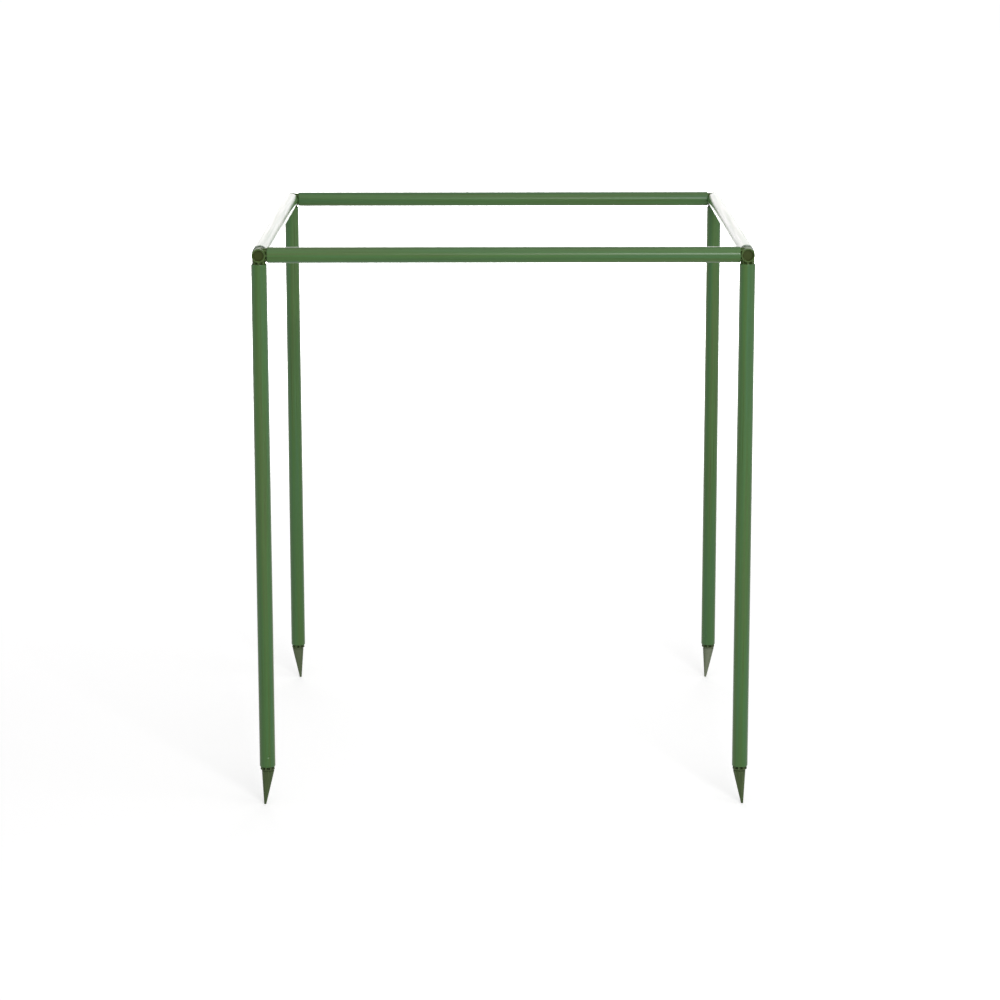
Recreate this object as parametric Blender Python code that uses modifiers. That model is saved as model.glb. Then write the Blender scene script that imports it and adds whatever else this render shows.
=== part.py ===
"""Shrub support: a square ring of plastic-coated steel tube that stands on four legs.

Four rails and four legs, all cut from one tube, are pushed on to the ribbed spigots of four
moulded corner connectors. Each leg ends in a moulded ground point whose tip slants to one side.
A tube is two pieces: a thin steel core and the plastic coat round it.

Units are metres, +Z is up and the front faces -Y. The origin lies on the ground in the middle.
"""

from math import asin, cos, hypot, pi, radians, sin

import bmesh
import bpy
from mathutils import Matrix, Vector

# Tube, from the outside in
TUBE_OUTER = 0.016
COAT_WALL = 0.0003
COAT_CLEARANCE = 0.00015
STEEL_WALL = 0.00045
RAIL_LENGTH = 0.469
LEG_LENGTH = 0.518

# Spigots: a core with ribs round it, which grip the bore of a tube
SPIGOT_CLEARANCE = 0.00025
RIB_COUNT = 8
RIB_WIDTH = 0.0018
RIB_HEIGHT = 0.0027
RIB_DRAFT = 0.00015
LEAD_IN_LENGTH = 0.003
LEAD_IN_DEPTH = 0.0007

# Corner connector: a hub along Y, recessed at its outer end, with three spigots
CONNECTOR_SPIGOT_LENGTH = 0.026
HUB_DIAMETER = 0.0138
HUB_WALL = 0.0015
RECESS_DEPTH = 0.003
RECESS_DRAFT = 0.0002
HUB_FRONT = 0.0076
HUB_PAST_RAIL = 0.0026
HUB_EDGE = 0.0004

# Gaps that the push fits leave between a tube's end and what is next to it
RAIL_GAP_LEFT = 0.0014
RAIL_GAP_RIGHT = 0.0004
SIDE_RAIL_GAP_FRONT = 0.0025
SIDE_RAIL_GAP_BACK = 0.0004
LEG_BELOW_RAIL = 0.001

# Ground point, downwards from the leg tube's end
POINT_SPIGOT_LENGTH = 0.022
POINT_SEAT_GAP = 0.0003
SHOULDER_OVERLAP = 0.0001
SHOULDER_HEIGHT = 0.0023
PLATE_THICKNESS = 0.0007
PLATE_OVERHANG = 0.0001
HEAD_DIAMETER = 0.0127
RING_HEIGHT = 0.0009
GROOVE_HEIGHT = 0.0005
GROOVE_DEPTH = 0.0005
POINT_LENGTH = 0.036
TIP_DIAMETER = 0.0024
TIP_ROUNDING = 0.0004
HEAD_OFFSET = 0.0006
TIP_OFFSET = 0.0031

# Dimple pressed through the leg tube, between two ribs of the ground point
DIMPLE_HEIGHT = 0.0116
DIMPLE_RADIUS = 0.002
DIMPLE_DEPTH = 0.0007

# Way in which each ground point slants, in degrees from +X towards +Y
POINT_TURN = {
    "front_left": 190,
    "front_right": 12,
    "back_left": 45,
    "back_right": 150,
}

# Facets of the round surfaces, and the angle in degrees from which an edge is a crease
TUBE_SIDES = 32
TURNED_SIDES = 32
DIMPLE_CUTS = 3
CREASE_ANGLE = 35

# Sizes that follow from those above
TUBE_RADIUS = TUBE_OUTER / 2
STEEL_RADIUS = TUBE_RADIUS - COAT_WALL - COAT_CLEARANCE
BORE_RADIUS = STEEL_RADIUS - STEEL_WALL
SPIGOT_RADIUS = BORE_RADIUS - SPIGOT_CLEARANCE
CORE_RADIUS = SPIGOT_RADIUS - RIB_HEIGHT
HUB_RADIUS = HUB_DIAMETER / 2
HUB_BACK = TUBE_RADIUS + HUB_PAST_RAIL
SHOULDER_RADIUS = BORE_RADIUS + SHOULDER_OVERLAP
PLATE_TOP = -POINT_SEAT_GAP - SHOULDER_HEIGHT
HEAD_TOP = PLATE_TOP - PLATE_THICKNESS
CONE_TOP = HEAD_TOP - RING_HEIGHT - GROOVE_HEIGHT
TIP_LEVEL = CONE_TOP - POINT_LENGTH
SPAN_X = RAIL_LENGTH + RAIL_GAP_LEFT + RAIL_GAP_RIGHT + 2 * HUB_RADIUS
SPAN_Y = RAIL_LENGTH + SIDE_RAIL_GAP_FRONT + SIDE_RAIL_GAP_BACK + 2 * HUB_BACK
LEG_TOP_DROP = TUBE_RADIUS + LEG_BELOW_RAIL
LEG_TOP = LEG_LENGTH - TIP_LEVEL
RING_LEVEL = LEG_TOP + LEG_TOP_DROP

# Overlap of shapes that are joined or cut, and the distance below which points are one
JOIN = 0.0005
MERGE = 0.000001

CORNERS = {
    "front_left": (-1, -1),
    "front_right": (1, -1),
    "back_left": (-1, 1),
    "back_right": (1, 1),
}
# Turns the connector, whose spigots point to +X, +Y and -Z, into each corner
CONNECTOR_TURN = {
    "front_left": (0, 0, 0),
    "front_right": (0, pi / 2, 0),
    "back_left": (0, pi / 2, pi),
    "back_right": (0, 0, pi),
}


def clear_scene():
    for thing in list(bpy.data.objects):
        bpy.data.objects.remove(thing, do_unlink=True)


def new_collection(name):
    collection = bpy.data.collections.new(name)
    bpy.context.scene.collection.children.link(collection)
    return collection


def new_material(name, colour, roughness, metallic=0.0):
    material = bpy.data.materials.new(name)
    material.use_nodes = True
    shader = material.node_tree.nodes["Principled BSDF"]
    shader.inputs["Base Color"].default_value = (*colour, 1.0)
    shader.inputs["Roughness"].default_value = roughness
    shader.inputs["Metallic"].default_value = metallic
    return material


def new_object(name, mesh, collection, parent=None):
    thing = bpy.data.objects.new(name, mesh)
    thing.parent = parent
    collection.objects.link(thing)
    return thing


def new_empty(name, collection, location, turn=0.0, parent=None):
    empty = new_object(name, None, collection, parent)
    empty.location = location
    empty.rotation_euler.z = turn
    return empty


def finished_mesh(name, thing):
    """The object's evaluated mesh, welded and shaded; the object itself is removed."""
    bpy.context.view_layer.update()
    evaluated = thing.evaluated_get(bpy.context.evaluated_depsgraph_get())
    mesh = bpy.data.meshes.new_from_object(evaluated)
    mesh.name = name
    bpy.data.objects.remove(thing)
    shape = bmesh.new()
    shape.from_mesh(mesh)
    bmesh.ops.remove_doubles(shape, verts=shape.verts, dist=MERGE)
    shape.to_mesh(mesh)
    shape.free()
    mesh.shade_smooth()
    mesh.set_sharp_from_angle(angle=radians(CREASE_ANGLE))
    return mesh


def turned_mesh(name, profile, workshop):
    """A solid of revolution about Z. The profile runs down its outer side, from axis to axis."""
    line = bpy.data.meshes.new(name)
    corners = [(radius, 0, level) for radius, level in profile]
    line.from_pydata(corners, [(i, i + 1) for i in range(len(corners) - 1)], [])
    thing = new_object(name, line, workshop)
    screw = thing.modifiers.new("Turn", "SCREW")
    screw.steps = TURNED_SIDES
    screw.render_steps = TURNED_SIDES
    screw.use_merge_vertices = True
    screw.merge_threshold = MERGE
    return finished_mesh(name, thing)


def extruded_mesh(name, outline, bottom, top, workshop):
    """A flat outline in XY, filled and extruded from bottom to top."""
    curve = bpy.data.curves.new(name, "CURVE")
    curve.dimensions = "2D"
    curve.fill_mode = "BOTH"
    curve.extrude = (top - bottom) / 2
    spline = curve.splines.new("POLY")
    spline.points.add(len(outline) - 1)
    for point, (x, y) in zip(spline.points, outline):
        point.co = (x, y, 0, 1)
    spline.use_cyclic_u = True
    mesh = finished_mesh(name, new_object(name, curve, workshop))
    mesh.transform(Matrix.Translation((0, 0, (top + bottom) / 2)))
    return mesh


def combined_mesh(name, first, steps, workshop):
    """The first mesh with others joined, cut away or kept in common, as (operation, mesh) steps."""
    thing = new_object(name, first, workshop)
    helpers = []
    for operation, mesh in steps:
        helper = new_object(f"{name}_helper_{len(helpers)}", mesh, workshop)
        helper.hide_render = True
        helper.display_type = "WIRE"
        helpers.append(helper)
        modifier = thing.modifiers.new(operation.title(), "BOOLEAN")
        modifier.operation = operation
        modifier.object = helper
        modifier.solver = "EXACT"
    mesh = finished_mesh(name, thing)
    for helper in helpers:
        bpy.data.objects.remove(helper)
    return mesh


def dimple_depth_at(x, y, height):
    """How deep the dimple is pressed in at a point of the tube's surface, on its +Y side."""
    share = hypot(x, height - DIMPLE_HEIGHT) / DIMPLE_RADIUS
    if y < 0 or share >= 1:
        return 0.0
    return DIMPLE_DEPTH * (1 - share**2) ** 2


def press_dimple(shape):
    """Refines an open tube round the dimple's place and presses it in along the radius."""
    for level in (DIMPLE_HEIGHT - DIMPLE_RADIUS, DIMPLE_HEIGHT + DIMPLE_RADIUS):
        everything = shape.verts[:] + shape.edges[:] + shape.faces[:]
        bmesh.ops.bisect_plane(
            shape, geom=everything, dist=MERGE, plane_co=(0, 0, level), plane_no=(0, 0, 1)
        )
    patch = []
    for face in shape.faces:
        middle = face.calc_center_median()
        facing = middle.y > 0 and abs(middle.x) < DIMPLE_RADIUS
        if facing and abs(middle.z - DIMPLE_HEIGHT) < DIMPLE_RADIUS:
            patch.append(face)
    edges = {edge for face in patch for edge in face.edges}
    bmesh.ops.subdivide_edges(shape, edges=list(edges), cuts=DIMPLE_CUTS, use_grid_fill=True)
    for vertex in shape.verts:
        depth = dimple_depth_at(*vertex.co)
        outward = Vector((vertex.co.x, vertex.co.y, 0)).normalized()
        vertex.co -= outward * depth


def tube_mesh(name, outer_radius, wall, length, workshop, dimpled=False):
    """A tube along Z with its lower end at the origin: an open surface, thickened inwards."""
    shape = bmesh.new()
    bmesh.ops.create_cone(
        shape,
        cap_ends=False,
        segments=TUBE_SIDES,
        radius1=outer_radius,
        radius2=outer_radius,
        depth=length,
        matrix=Matrix.Translation((0, 0, length / 2)),
    )
    if dimpled:
        press_dimple(shape)
    surface = bpy.data.meshes.new(name)
    shape.to_mesh(surface)
    shape.free()
    thing = new_object(name, surface, workshop)
    solidify = thing.modifiers.new("Wall", "SOLIDIFY")
    solidify.thickness = wall
    solidify.offset = -1
    solidify.use_even_offset = True
    return finished_mesh(name, thing)


def rib_outline(reach):
    """Star-shaped section of a spigot: ribs of constant width on a round core, one facing -Y."""
    half = RIB_WIDTH / 2
    root_angle = asin(half / CORE_RADIUS)
    tip_angle = asin(half / reach)
    pitch = 2 * pi / RIB_COUNT
    points = []
    for rib in range(RIB_COUNT):
        middle = rib * pitch - pi / 2
        turns = (
            (CORE_RADIUS, middle - root_angle),
            (reach, middle - tip_angle),
            (reach, middle + tip_angle),
            (CORE_RADIUS, middle + root_angle),
            (CORE_RADIUS, middle + pitch / 2),
        )
        points += [(radius * cos(angle), radius * sin(angle)) for radius, angle in turns]
    return points


def ribbed_mesh(name, envelope, workshop):
    """A ribbed rod: the star section, kept where it lies inside a turned envelope."""
    widest = max(radius for radius, _ in envelope)
    top = envelope[0][1]
    bottom = envelope[-1][1]
    section = extruded_mesh(name, rib_outline(widest + JOIN), bottom - JOIN, top + JOIN, workshop)
    space = turned_mesh(name + "_envelope", envelope, workshop)
    return combined_mesh(name, section, [("INTERSECT", space)], workshop)


def spigot_envelope(root, tip):
    """Outer profile of a connector's spigot: a lead-in at the tip, then a slight draft."""
    return [
        (0, tip),
        (SPIGOT_RADIUS - RIB_DRAFT - LEAD_IN_DEPTH, tip),
        (SPIGOT_RADIUS - RIB_DRAFT, tip - LEAD_IN_LENGTH),
        (SPIGOT_RADIUS, root),
        (0, root),
    ]


def connector_mesh(workshop):
    """Three-way corner connector, centred where its axes meet, with its recess towards -Y."""
    hub = turned_mesh(
        "hub",
        [
            (0, HUB_FRONT),
            (HUB_RADIUS - HUB_EDGE, HUB_FRONT),
            (HUB_RADIUS, HUB_FRONT - HUB_EDGE),
            (HUB_RADIUS, -HUB_BACK + HUB_EDGE),
            (HUB_RADIUS - HUB_EDGE, -HUB_BACK),
            (0, -HUB_BACK),
        ],
        workshop,
    )
    recess_radius = HUB_RADIUS - HUB_WALL
    recess = turned_mesh(
        "hub_recess",
        [
            (0, HUB_FRONT + JOIN),
            (recess_radius, HUB_FRONT + JOIN),
            (recess_radius - RECESS_DRAFT, HUB_FRONT - RECESS_DEPTH),
            (0, HUB_FRONT - RECESS_DEPTH),
        ],
        workshop,
    )
    across_tip = HUB_RADIUS + CONNECTOR_SPIGOT_LENGTH
    across = ribbed_mesh("spigot", spigot_envelope(0, across_tip), workshop)
    along_tip = HUB_BACK + CONNECTOR_SPIGOT_LENGTH
    along = ribbed_mesh("spigot_along", spigot_envelope(HUB_BACK - JOIN, along_tip), workshop)
    down = across.copy()
    hub.transform(Matrix.Rotation(pi / 2, 4, "X"))
    recess.transform(Matrix.Rotation(pi / 2, 4, "X"))
    across.transform(Matrix.Rotation(pi / 2, 4, "Y"))
    along.transform(Matrix.Rotation(-pi / 2, 4, "X"))
    down.transform(Matrix.Rotation(pi, 4, "X"))
    steps = [("UNION", across), ("UNION", along), ("UNION", down), ("DIFFERENCE", recess)]
    return combined_mesh("corner_connector", hub, steps, workshop)


def point_head_mesh(workshop):
    """Ring, groove and slanting cone of the ground point, leaning towards +X."""
    ring_radius = HEAD_DIAMETER / 2
    tip_radius = TIP_DIAMETER / 2
    groove_top = HEAD_TOP - RING_HEIGHT
    head = turned_mesh(
        "point_head",
        [
            (0, HEAD_TOP + JOIN / 2),
            (ring_radius, HEAD_TOP + JOIN / 2),
            (ring_radius, groove_top),
            (ring_radius - GROOVE_DEPTH, groove_top),
            (ring_radius - GROOVE_DEPTH, CONE_TOP),
            (ring_radius, CONE_TOP),
            (tip_radius, TIP_LEVEL + TIP_ROUNDING),
            (tip_radius - TIP_ROUNDING, TIP_LEVEL),
            (0, TIP_LEVEL),
        ],
        workshop,
    )
    lean = (TIP_OFFSET + HEAD_OFFSET) / (HEAD_TOP - TIP_LEVEL)
    shear = Matrix.Identity(4)
    shear[0][2] = -lean
    start = -HEAD_OFFSET + lean * HEAD_TOP
    head.transform(Matrix.Translation((start, 0, 0)) @ shear)
    return head


def ground_point_mesh(workshop):
    """Ground point with its origin at the tube's end; ribs lie to both sides of +X and +Y."""
    ribs = ribbed_mesh(
        "point_ribs",
        [
            (0, POINT_SPIGOT_LENGTH),
            (SPIGOT_RADIUS - LEAD_IN_DEPTH, POINT_SPIGOT_LENGTH),
            (SPIGOT_RADIUS, POINT_SPIGOT_LENGTH - LEAD_IN_LENGTH),
            (SPIGOT_RADIUS, -POINT_SEAT_GAP),
            (SHOULDER_RADIUS, -POINT_SEAT_GAP),
            (SHOULDER_RADIUS, PLATE_TOP - PLATE_THICKNESS / 2),
            (0, PLATE_TOP - PLATE_THICKNESS / 2),
        ],
        workshop,
    )
    ribs.transform(Matrix.Rotation(pi / RIB_COUNT, 4, "Z"))
    plate_radius = SHOULDER_RADIUS + PLATE_OVERHANG
    plate = turned_mesh(
        "point_plate",
        [(0, PLATE_TOP), (plate_radius, PLATE_TOP), (plate_radius, HEAD_TOP), (0, HEAD_TOP)],
        workshop,
    )
    steps = [("UNION", plate), ("UNION", point_head_mesh(workshop))]
    return combined_mesh("ground_point", ribs, steps, workshop)


def add_piece(name, mesh, material, collection, parent, location=(0, 0, 0), rotation=(0, 0, 0)):
    """One piece of the support, as its own object on a mesh that like pieces share."""
    if not mesh.materials:
        mesh.materials.append(material)
    piece = new_object(name, mesh, collection, parent)
    piece.location = location
    piece.rotation_euler = rotation
    return piece


def add_tube(name, kind, meshes, finishes, collection, parent, location=(0, 0, 0), rotation=(0, 0, 0)):
    """The coat and the core of one tube, in the same place."""
    for layer in ("coat", "core"):
        add_piece(
            f"{name}_{layer}",
            meshes[kind, layer],
            finishes[layer],
            collection,
            parent,
            location,
            rotation,
        )


def build():
    clear_scene()
    support = new_collection("shrub_support")
    workshop = new_collection("workshop")
    finishes = {
        "coat": new_material("green_coated_tube", (0.062, 0.125, 0.043), 0.35),
        "core": new_material("steel_core", (0.45, 0.46, 0.46), 0.4, 1.0),
        "connector": new_material("olive_connector_plastic", (0.048, 0.075, 0.022), 0.45),
        "point": new_material("olive_point_plastic", (0.07, 0.09, 0.045), 0.5),
    }
    layers = {"coat": (TUBE_RADIUS, COAT_WALL), "core": (STEEL_RADIUS, STEEL_WALL)}
    meshes = {}
    for layer, (radius, wall) in layers.items():
        meshes["rail", layer] = tube_mesh(f"rail_{layer}", radius, wall, RAIL_LENGTH, workshop)
        meshes["leg", layer] = tube_mesh(f"leg_{layer}", radius, wall, LEG_LENGTH, workshop, True)
    connector = connector_mesh(workshop)
    point = ground_point_mesh(workshop)

    # The right side of the ring pulls off to +X, so it hangs from an empty of its own
    left_frame = new_empty("left_frame", support, (0, 0, RING_LEVEL))
    right_frame = new_empty("right_frame", support, (SPAN_X / 2, 0, RING_LEVEL))
    rail_start = -SPAN_X / 2 + HUB_RADIUS + RAIL_GAP_LEFT
    side_rail_start = -SPAN_Y / 2 + HUB_BACK + SIDE_RAIL_GAP_FRONT
    along_x = (0, pi / 2, 0)
    along_y = (-pi / 2, 0, 0)
    for side, direction in (("front", -1), ("back", 1)):
        start = (rail_start, direction * SPAN_Y / 2, 0)
        add_tube(f"{side}_rail", "rail", meshes, finishes, support, left_frame, start, along_x)
    for side, parent, x in (("left", left_frame, -SPAN_X / 2), ("right", right_frame, 0)):
        start = (x, side_rail_start, 0)
        add_tube(f"{side}_rail", "rail", meshes, finishes, support, parent, start, along_y)

    for corner, (side_x, side_y) in CORNERS.items():
        parent = right_frame if side_x > 0 else left_frame
        x = 0 if side_x > 0 else -SPAN_X / 2
        y = side_y * SPAN_Y / 2
        add_piece(
            f"{corner}_connector",
            connector,
            finishes["connector"],
            support,
            parent,
            (x, y, 0),
            CONNECTOR_TURN[corner],
        )
        turn = radians(POINT_TURN[corner])
        leg = new_empty(f"{corner}_leg", support, (x, y, -LEG_TOP_DROP), turn, parent)
        foot = (0, 0, -LEG_LENGTH)
        add_tube(f"{corner}_leg", "leg", meshes, finishes, support, leg, foot)
        add_piece(f"{corner}_point", point, finishes["point"], support, leg, foot)

    bpy.data.collections.remove(workshop)
    bpy.context.view_layer.update()
    height = RING_LEVEL + TUBE_RADIUS
    print(f"{SPAN_X + TUBE_OUTER:.4f} wide, {SPAN_Y + TUBE_OUTER:.4f} deep, {height:.4f} high")


build()
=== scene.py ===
# %% [markdown]
# # A shrub support of plastic-coated steel tube
# Four rails make a square ring, four legs carry it, and the shoots of a shrub lean on the ring.
# Each corner is a moulded connector that is pushed into three tubes, and each leg ends in a
# moulded point that goes into the soil. The solids, their sizes and their joints are made
# elsewhere and are loaded first. This lesson dresses each of them with a fine mesh and a
# finish, one kind at a time.

# %% Load the solids
from math import asin, atan2, cos, degrees, hypot, pi, radians, sin

import bmesh
import bpy
from mathutils import Matrix, Vector


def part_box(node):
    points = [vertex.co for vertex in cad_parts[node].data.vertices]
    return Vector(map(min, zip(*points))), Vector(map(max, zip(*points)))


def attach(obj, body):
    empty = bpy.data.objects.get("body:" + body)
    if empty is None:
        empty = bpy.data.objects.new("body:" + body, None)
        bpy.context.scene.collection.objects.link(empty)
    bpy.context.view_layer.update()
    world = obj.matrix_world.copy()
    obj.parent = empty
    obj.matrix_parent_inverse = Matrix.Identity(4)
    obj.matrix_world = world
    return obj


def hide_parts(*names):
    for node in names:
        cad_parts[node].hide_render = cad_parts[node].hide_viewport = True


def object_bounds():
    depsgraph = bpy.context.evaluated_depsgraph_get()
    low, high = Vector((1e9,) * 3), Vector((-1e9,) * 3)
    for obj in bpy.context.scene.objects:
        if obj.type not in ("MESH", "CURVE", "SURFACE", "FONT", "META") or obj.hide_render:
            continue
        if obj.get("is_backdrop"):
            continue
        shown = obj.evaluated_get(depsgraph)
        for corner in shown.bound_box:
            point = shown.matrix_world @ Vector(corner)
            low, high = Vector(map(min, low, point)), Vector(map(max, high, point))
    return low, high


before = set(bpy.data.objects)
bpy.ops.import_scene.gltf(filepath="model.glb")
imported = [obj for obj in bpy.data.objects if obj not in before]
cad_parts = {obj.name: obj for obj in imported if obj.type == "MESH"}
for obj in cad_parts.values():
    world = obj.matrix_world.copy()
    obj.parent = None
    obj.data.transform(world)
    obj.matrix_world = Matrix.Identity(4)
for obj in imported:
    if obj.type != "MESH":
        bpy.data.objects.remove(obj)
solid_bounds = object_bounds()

# %% [markdown]
# ## Where things are
# Every place is read from the loaded solids, so nothing has to be fitted by eye. A leg's box
# gives its axis and its two ends, and a rail's box gives the level of the ring. The corner of
# the ring is where the three axes meet, which is also the middle of the connector.

# %% Places and sizes of the tubes
MM = 0.001
CORNERS = ("front_left", "front_right", "back_left", "back_right")
RAILS = ("front", "back", "left", "right")


def middle(node):
    low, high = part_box(node)
    return (low + high) / 2


RING_LEVEL = middle("front_rail_coat").z
TUBE_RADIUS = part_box("front_rail_coat")[1].z - RING_LEVEL
STEEL_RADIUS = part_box("front_rail_core")[1].z - RING_LEVEL
CORNER_PLACE = {}
for corner in CORNERS:
    axis = middle(f"{corner}_leg_coat")
    CORNER_PLACE[corner] = Vector((axis.x, axis.y, RING_LEVEL))
print(f"tube radius {TUBE_RADIUS / MM:.2f} mm, ring at {RING_LEVEL / MM:.1f} mm")

# %% [markdown]
# ## Sections of round pieces
# Tubes, hubs and points are all turned shapes: a section that is spun once round an axis. The
# section is a short list of points, with its rounded edges as arcs. A cylinder primitive would
# be quicker, but it has razor edges, and a real edge is seen by the thin line of light that it
# catches. Long straight stretches get one more point near each end, so that smooth shading
# keeps to the edge.

# %% Draw a section
SECTION_BRACE = 0.4 * MM
LONG_STRETCH = 4 * SECTION_BRACE
ARC_STEPS = 4


def arc(centre, reach, start, end, steps=ARC_STEPS):
    """Points on part of an ellipse, as (radius, height). Angles are in degrees."""
    angles = [radians(start + (end - start) * i / steps) for i in range(steps + 1)]
    return [(centre[0] + reach[0] * cos(a), centre[1] + reach[1] * sin(a)) for a in angles]


def braced(section, closed):
    """The section with a point added near both ends of each long straight stretch."""
    points = []
    followers = section[1:] + (section[:1] if closed else [])
    for start, end in zip(section, followers):
        points.append(start)
        length = hypot(end[0] - start[0], end[1] - start[1])
        if length > LONG_STRETCH:
            for share in (SECTION_BRACE / length, 1 - SECTION_BRACE / length):
                points.append(tuple(a + (b - a) * share for a, b in zip(start, end)))
    return points if closed else points + section[-1:]


print(f"a rounded edge has {ARC_STEPS} steps, braces sit {SECTION_BRACE / MM:.1f} mm from an end")

# %% [markdown]
# ## Spinning a section
# Spin is the lathe of bmesh: it drags the section round the axis and leaves a strip of faces at
# each step. A full turn is merged where it closes, and points on the axis are welded into one,
# so the skin has no seam and no hole at its poles.

# %% Spin a section
SIDES = 96
WELD = 0.001 * MM


def spun(section, closed=False):
    """The section spun round Z. An open section starts and ends on the axis."""
    shape = bmesh.new()
    points = braced(section, closed)
    corners = [shape.verts.new((radius, 0, level)) for radius, level in points]
    followers = corners[1:] + (corners[:1] if closed else [])
    for start, end in zip(corners, followers):
        shape.edges.new((start, end))
    bmesh.ops.spin(
        shape,
        geom=shape.verts[:] + shape.edges[:],
        cent=(0, 0, 0),
        axis=(0, 0, 1),
        angle=2 * pi,
        steps=SIDES,
        use_merge=True,
    )
    bmesh.ops.remove_doubles(shape, verts=shape.verts, dist=WELD)
    bmesh.ops.recalc_face_normals(shape, faces=shape.faces)
    return shape


print(f"a tube's {SIDES} sides are {2 * pi * TUBE_RADIUS / SIDES / MM:.2f} mm wide")

# %% [markdown]
# ## From mesh to piece
# A piece needs a mesh in its place, a body to ride on, the solid that it stands for and the
# material slot that it takes. Each vertex also remembers its place on the piece before it was
# turned and moved. The finishes read that, so a streak runs along a tube whichever way it
# points, and a shift that differs from piece to piece keeps two tubes from having the same
# streaks.

# %% Adding a piece
CREASE_ANGLE = radians(35)
PATTERN_SHIFT = Vector((0.31, 0.47, 1.3))
pieces = []


def add_piece(name, shape, place, body, solid, slot, own_place=None):
    """Makes one finished piece. own_place turns a vertex's place into its place in the pattern."""
    mesh = bpy.data.meshes.new(name)
    shape.to_mesh(mesh)
    shift = PATTERN_SHIFT * len(pieces)
    pattern = mesh.attributes.new("own_place", "FLOAT_VECTOR", "POINT")
    for vertex, entry in zip(mesh.vertices, pattern.data):
        local = own_place(vertex.co) if own_place else vertex.co
        entry.vector = local + shift
    mesh.transform(place)
    mesh.shade_smooth()
    mesh.set_sharp_from_angle(angle=CREASE_ANGLE)
    piece = bpy.data.objects.new(name, mesh)
    bpy.context.scene.collection.objects.link(piece)
    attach(piece, body)
    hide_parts(solid)
    piece["slot_name"] = slot
    pieces.append(piece)
    return piece


print(f"edges that turn by over {degrees(CREASE_ANGLE):.0f} degrees stay sharp")

# %% [markdown]
# ## The tube
# The real tube is thin steel that runs through an extruder, which lays a plastic skin on it. It
# is cut to length afterwards, and the cutter drags the skin a little way over the edge. So the
# skin is one thin shell, rounded at both ends, and the steel is a second shell that shows at
# the cut as a bright ring. Both are closed sections spun round the axis. One section with two
# materials would look alike, but the steel could then never be taken out of the skin.

# %% The two layers of a tube
SKIN_WALL = 0.43 * MM
STEEL_WALL = 0.45 * MM
LIP_STEPS = 6
LAYERS = {
    "coat": {"outer": TUBE_RADIUS, "wall": SKIN_WALL, "rounding": (0.32 * MM, 0.9 * MM)},
    "core": {"outer": STEEL_RADIUS, "wall": STEEL_WALL, "rounding": (0.1 * MM, 0.15 * MM)},
}


def tube_section(outer, wall, rounding, length):
    """Closed section of a tube's wall, with the outer edge of both ends rounded."""
    across, along = rounding
    inner = outer - wall
    lower = arc((outer - across, along), rounding, -90, 0, LIP_STEPS)
    upper = arc((outer - across, length - along), rounding, 0, 90, LIP_STEPS)
    return lower + upper + [(inner, length), (inner, 0)]


for layer, sizes in LAYERS.items():
    print(f"{layer}: {2 * sizes['outer'] / MM:.2f} mm across, wall {sizes['wall'] / MM:.2f} mm")

# %% [markdown]
# ## Rails
# A rail is the plain tube, laid along X or Y. It is spun upright at the origin and then turned,
# so that the same few lines serve all four rails and both layers.

# %% Make the rails
UPRIGHT_TO_X = Matrix.Rotation(pi / 2, 4, "Y")
UPRIGHT_TO_Y = Matrix.Rotation(-pi / 2, 4, "X")
for side in RAILS:
    low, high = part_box(f"{side}_rail_coat")
    along_x = side in ("front", "back")
    length = high.x - low.x if along_x else high.y - low.y
    start = Vector(middle(f"{side}_rail_coat"))
    start[0 if along_x else 1] -= length / 2
    place = Matrix.Translation(start) @ (UPRIGHT_TO_X if along_x else UPRIGHT_TO_Y)
    body = "right_frame" if side == "right" else "left_frame"
    for layer, sizes in LAYERS.items():
        shape = spun(tube_section(length=length, **sizes), closed=True)
        name = f"{side}_rail_{'skin' if layer == 'coat' else 'steel'}"
        add_piece(name, shape, place, body, f"{side}_rail_{layer}", f"tube_{layer}")
        shape.free()
    print(f"{side} rail: {length / MM:.1f} mm")

# %% [markdown]
# ## The dimple
# A leg is the same tube with a dimple punched through its wall near the foot, which holds the
# point in the bore. The tube is first cut into finer rings and faces round the dimple, and then
# both layers are pushed in along the radius. A Boolean with a sphere would cut a hole instead:
# punching moves the wall and takes nothing away.

# %% Punch a dimple
DIMPLE_HEIGHT = 11.6 * MM
DIMPLE_RADIUS = 2.0 * MM
DIMPLE_DEPTH = 0.7 * MM
DIMPLE_RINGS = 8


def punch_dimple(shape):
    """Refines the tube round the dimple on its +Y side and presses it in."""
    for ring in range(-DIMPLE_RINGS, DIMPLE_RINGS + 1):
        level = DIMPLE_HEIGHT + DIMPLE_RADIUS * ring / DIMPLE_RINGS
        everything = shape.verts[:] + shape.edges[:] + shape.faces[:]
        bmesh.ops.bisect_plane(
            shape, geom=everything, dist=WELD, plane_co=(0, 0, level), plane_no=(0, 0, 1)
        )
    patch = set()
    for face in shape.faces:
        centre = face.calc_center_median()
        beside = centre.y > 0 and abs(centre.x) < DIMPLE_RADIUS
        if beside and abs(centre.z - DIMPLE_HEIGHT) < DIMPLE_RADIUS:
            patch.update(face.edges)
    around = [edge for edge in patch if abs(edge.verts[0].co.z - edge.verts[1].co.z) < WELD]
    bmesh.ops.subdivide_edges(shape, edges=around, cuts=1, use_grid_fill=True)
    for vertex in shape.verts:
        share = hypot(vertex.co.x, vertex.co.z - DIMPLE_HEIGHT) / DIMPLE_RADIUS
        if vertex.co.y > 0 and share < 1:
            inward = Vector((-vertex.co.x, -vertex.co.y, 0)).normalized()
            vertex.co += inward * DIMPLE_DEPTH * (1 - share**2) ** 2


print(f"dimple: {2 * DIMPLE_RADIUS / MM:.1f} mm across and {DIMPLE_DEPTH / MM:.1f} mm deep")

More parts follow.
